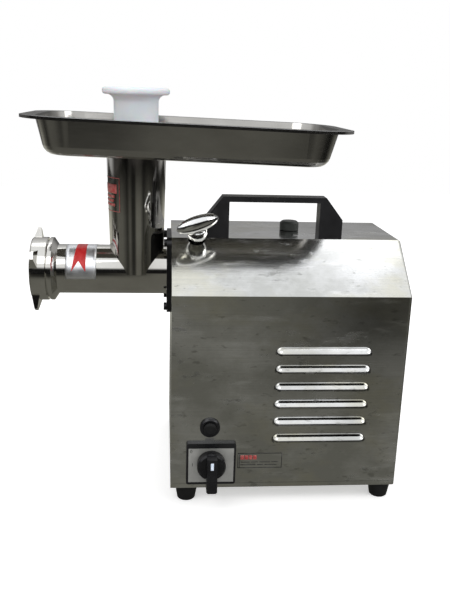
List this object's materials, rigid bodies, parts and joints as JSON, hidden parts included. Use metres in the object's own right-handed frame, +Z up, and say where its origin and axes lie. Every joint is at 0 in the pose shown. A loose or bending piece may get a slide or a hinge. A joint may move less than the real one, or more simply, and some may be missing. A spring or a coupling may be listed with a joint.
{
  "type": "electric meat grinder",
  "caption": "Electric meat grinder: sheet-steel motor housing with a side-mounted stainless head, feed neck, tray and pusher, louvres, carry handle and rotary switch.",
  "frame": {"origin": "on the surface the feet stand on, under the middle of the object's box", "axes": "+X to the right seen from the switch side, +Y to the back, +Z up; the head points along -X"},
  "size_m": [0.4912, 0.323, 0.5305],
  "materials": {
    "mirror_steel": "polished stainless",
    "brushed_sheet": "dull brushed stainless sheet",
    "chrome": "chrome plated",
    "black_plastic": "matte black moulding",
    "black_rubber": "matte",
    "grey_label": "satin printed plate",
    "white_plastic": "translucent white food-grade plastic",
    "white_fibre": "moulded",
    "zinc_steel": "zinc plated",
    "tool_steel": "ground",
    "bearing_steel": "ground",
    "cast_aluminium": "as cast",
    "lamination": "varnished laminations",
    "copper": "enamelled wire",
    "brass": "turned"
  },
  "bodies": {
    "root": {"base_plate": "brushed_sheet", "housing_wrap": "brushed_sheet", "end_panel_left": "brushed_sheet", "end_panel_right": "brushed_sheet", "panel_screws": "zinc_steel", "rubber_feet": "black_rubber", "foot_screws": "zinc_steel", "carry_handle": "black_plastic", "handle_screws": "zinc_steel", "head_socket": "cast_aluminium", "socket_bolts": "zinc_steel", "gearbox_case": "cast_aluminium", "gearbox_cover": "cast_aluminium", "cover_screws": "zinc_steel", "oil_seal": "black_rubber", "filler_neck": "brass", "gearbox_stand": "zinc_steel", "bearing_outer_races": "bearing_steel", "bearing_balls": "bearing_steel", "motor_frame": "cast_aluminium", "motor_bolts": "zinc_steel", "stator_core": "lamination", "stator_windings": "copper", "motor_end_shield": "cast_aluminium", "run_capacitor": "cast_aluminium", "capacitor_clip": "zinc_steel", "terminal_block": "black_plastic", "switch_body": "black_plastic", "switch_bezel": "black_plastic", "switch_face": "grey_label", "circuit_breaker": "black_plastic", "breaker_collar": "black_plastic", "cable_gland": "black_plastic", "gland_nut": "black_plastic"},
    "rotor": {"rotor_shaft": "tool_steel", "rotor_core": "lamination", "cooling_fan": "white_fibre", "rotor_bearing_races": "bearing_steel"},
    "intermediate_drive": {"intermediate_shaft": "tool_steel", "intermediate_gear": "tool_steel", "intermediate_bearing_races": "bearing_steel"},
    "output_drive": {"output_shaft": "tool_steel", "output_gear": "tool_steel", "output_key": "tool_steel", "output_bearing_races": "bearing_steel"},
    "head": {"head_barrel": "mirror_steel", "feed_neck": "mirror_steel", "thrust_washer": "brass"},
    "feed_worm": {"worm": "tool_steel", "cross_knife": "tool_steel"},
    "plate": {"hole_plate": "tool_steel"},
    "ring": {"ring_nut": "mirror_steel"},
    "feed_tray": {"tray": "mirror_steel"},
    "meat_pusher": {"pusher": "white_plastic"},
    "clamp_shoe": {"lock_shoe": "brass"},
    "clamp_screw": {"lock_screw": "zinc_steel", "wing_knob": "chrome"},
    "selector": {"switch_knob": "black_plastic"},
    "reset": {"reset_button": "black_rubber"},
    "filler_cap": {"oil_filler_cap": "black_rubber"}
  },
  "joints": [
    {"name": "rotor_spin", "type": "hinge", "parent": "root", "child": "rotor", "pos_m": [0.15185, 0.0033, 0.174], "axis": [1, 0, 0], "continuous": true},
    {"name": "intermediate_spin", "type": "hinge", "parent": "root", "child": "intermediate_drive", "pos_m": [0.08185, 0.0033, 0.228], "axis": [1, 0, 0], "continuous": true},
    {"name": "output_spin", "type": "hinge", "parent": "root", "child": "output_drive", "pos_m": [0.06185, 0.0033, 0.288], "axis": [1, 0, 0], "continuous": true},
    {"name": "head_slide", "type": "slide", "parent": "root", "child": "head", "axis": [-1, 0, 0], "range_m": [0, 0.06]},
    {"name": "worm_spin", "type": "hinge", "parent": "head", "child": "feed_worm", "pos_m": [-0.13815, 0.0033, 0.288], "axis": [1, 0, 0], "continuous": true},
    {"name": "plate_travel", "type": "slide", "parent": "head", "child": "plate", "axis": [-1, 0, 0], "range_m": [0, 0.0121]},
    {"name": "ring_turn", "type": "hinge", "parent": "plate", "child": "ring", "pos_m": [-0.23815, 0.0033, 0.288], "axis": [-1, 0, 0], "range_deg": [0, 1440]},
    {"name": "tray_lift", "type": "slide", "parent": "head", "child": "feed_tray", "axis": [0, 0, 1], "range_m": [0, 0.05]},
    {"name": "pusher_stroke", "type": "slide", "parent": "head", "child": "meat_pusher", "axis": [0, 0, 1], "range_m": [0, 0.2]},
    {"name": "clamp_travel", "type": "slide", "parent": "root", "child": "clamp_shoe", "axis": [0, -0.7451, 0.6669], "range_m": [0, 0.00605]},
    {"name": "clamp_turn", "type": "hinge", "parent": "clamp_shoe", "child": "clamp_screw", "pos_m": [-0.02615, 0.0033, 0.288], "axis": [0, -0.7451, 0.6669], "range_deg": [0, 1440]},
    {"name": "selector_turn", "type": "hinge", "parent": "root", "child": "selector", "pos_m": [-0.00555, -0.1405, 0.0623], "axis": [0, -1, 0], "range_deg": [0, 90]},
    {"name": "reset_press", "type": "slide", "parent": "root", "child": "reset", "axis": [0, 1, 0], "range_m": [0, 0.003], "stiffness_N_per_m": 600, "springref_m": -0.001},
    {"name": "cap_pull", "type": "slide", "parent": "root", "child": "filler_cap", "axis": [0, 0, 1], "range_m": [0, 0.03]}
  ],
  "couplings": [
    {"joint": "intermediate_spin", "follows": "rotor_spin", "ratio": -0.28571},
    {"joint": "output_spin", "follows": "rotor_spin", "ratio": 0.1039},
    {"joint": "worm_spin", "follows": "rotor_spin", "ratio": 0.1039},
    {"joint": "plate_travel", "follows": "ring_turn", "m_per_rad": 0.00047746},
    {"joint": "clamp_travel", "follows": "clamp_turn", "m_per_rad": 0.00023873}
  ]
}
